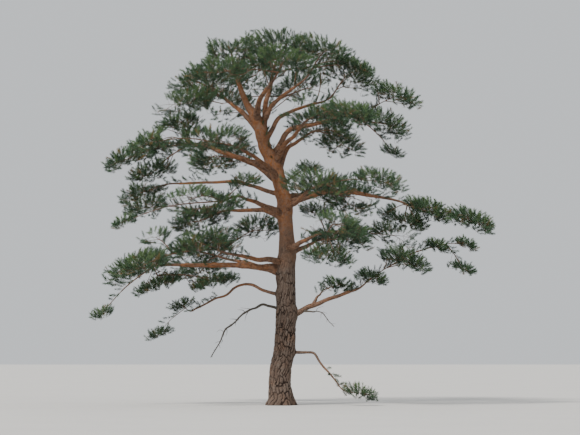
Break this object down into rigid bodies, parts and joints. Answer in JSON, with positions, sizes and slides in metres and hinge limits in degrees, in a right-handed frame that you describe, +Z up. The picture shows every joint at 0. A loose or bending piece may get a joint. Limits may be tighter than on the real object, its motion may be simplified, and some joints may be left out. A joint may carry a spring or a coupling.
{
  "type": "pine tree",
  "caption": "Old open-grown pine with a leaning flared trunk, nearly level boughs, layered pads of needles, a domed top and dead lower limbs.",
  "frame": {"origin": "middle of the flat cut under the trunk, at ground level", "axes": "+Z up the tree, +X to the right of the picture's view, +Y away from the viewer"},
  "size_m": [10.6239, 8.1999, 10.0902],
  "materials": {
    "bark": "matte",
    "dead_wood": "matte",
    "needles": "matte"
  },
  "bodies": {
    "root": {"bough_crown_back": "bark", "bough_crown_front": "bark", "bough_crown_left_shoulder": "bark", "bough_crown_middle": "bark", "bough_crown_right": "bark", "bough_crown_right_shoulder": "bark", "bough_left_bottom": "bark", "bough_left_low": "bark", "bough_left_low_back": "bark", "bough_left_low_front": "bark", "bough_left_middle": "bark", "bough_left_middle_back": "bark", "bough_left_middle_front": "bark", "bough_left_upper": "bark", "bough_left_upper_back": "bark", "bough_left_upper_front": "bark", "bough_right_bottom": "bark", "bough_right_low": "bark", "bough_right_low_spur": "bark", "bough_right_lower_back": "bark", "bough_right_lower_front": "bark", "bough_right_middle": "bark", "bough_right_middle_back": "bark", "bough_right_middle_front": "bark", "bough_right_small": "bark", "bough_right_upper": "bark", "bough_right_upper_back": "bark", "bough_right_upper_front": "bark", "dead_left_hook": "dead_wood", "dead_right_spur": "dead_wood", "foliage_crown_back": "needles", "foliage_crown_front": "needles", "foliage_crown_left": "needles", "foliage_crown_left_shoulder": "needles", "foliage_crown_middle": "needles", "foliage_crown_right": "needles", "foliage_crown_right_shoulder": "needles", "foliage_left_bottom": "needles", "foliage_left_low": "needles", "foliage_left_low_back": "needles", "foliage_left_low_front": "needles", "foliage_left_middle": "needles", "foliage_left_middle_back": "needles", "foliage_left_middle_front": "needles", "foliage_left_upper": "needles", "foliage_left_upper_back": "needles", "foliage_left_upper_front": "needles", "foliage_right_bottom": "needles", "foliage_right_low": "needles", "foliage_right_low_spur": "needles", "foliage_right_lower_back": "needles", "foliage_right_lower_front": "needles", "foliage_right_middle": "needles", "foliage_right_middle_back": "needles", "foliage_right_middle_front": "needles", "foliage_right_small": "needles", "foliage_right_upper": "needles", "foliage_right_upper_back": "needles", "foliage_right_upper_front": "needles", "trunk": "bark"}
  },
  "joints": []
}
